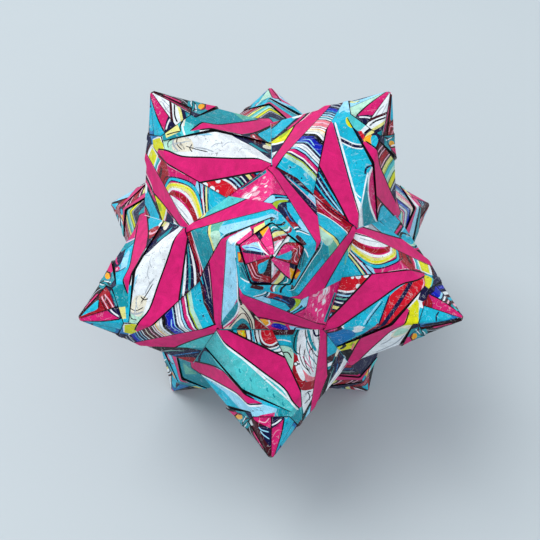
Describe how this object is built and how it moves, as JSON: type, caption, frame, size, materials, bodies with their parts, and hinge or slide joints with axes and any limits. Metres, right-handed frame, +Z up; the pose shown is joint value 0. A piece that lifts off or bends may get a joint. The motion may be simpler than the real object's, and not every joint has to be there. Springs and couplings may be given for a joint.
{
  "type": "kusudama paper ball",
  "caption": "Modular folded-paper star ball with five-sided spikes and three-sided pits, made of equal interlocked sheets of brightly printed paper.",
  "frame": {"origin": "on the table, straight below the middle of the ball, which stands on three spikes", "axes": "+Z up, through the middle of the three spikes it stands on; one of the three upper spikes leans towards -Y"},
  "size_m": [0.1252, 0.1436, 0.1175],
  "materials": {
    "printed_paper": "smooth uncoated art paper, printed on one side in pink, cyan, navy, white and yellow, plain white on the back"
  },
  "bodies": {
    "root": {"unit_01": "printed_paper", "unit_02": "printed_paper", "unit_03": "printed_paper", "unit_04": "printed_paper", "unit_05": "printed_paper", "unit_06": "printed_paper", "unit_07": "printed_paper", "unit_08": "printed_paper", "unit_09": "printed_paper", "unit_10": "printed_paper", "unit_11": "printed_paper", "unit_12": "printed_paper", "unit_13": "printed_paper", "unit_14": "printed_paper", "unit_15": "printed_paper", "unit_16": "printed_paper", "unit_17": "printed_paper", "unit_18": "printed_paper", "unit_19": "printed_paper", "unit_20": "printed_paper", "unit_21": "printed_paper", "unit_22": "printed_paper", "unit_23": "printed_paper", "unit_24": "printed_paper", "unit_25": "printed_paper", "unit_26": "printed_paper", "unit_27": "printed_paper", "unit_28": "printed_paper", "unit_29": "printed_paper", "unit_30": "printed_paper"}
  },
  "joints": []
}
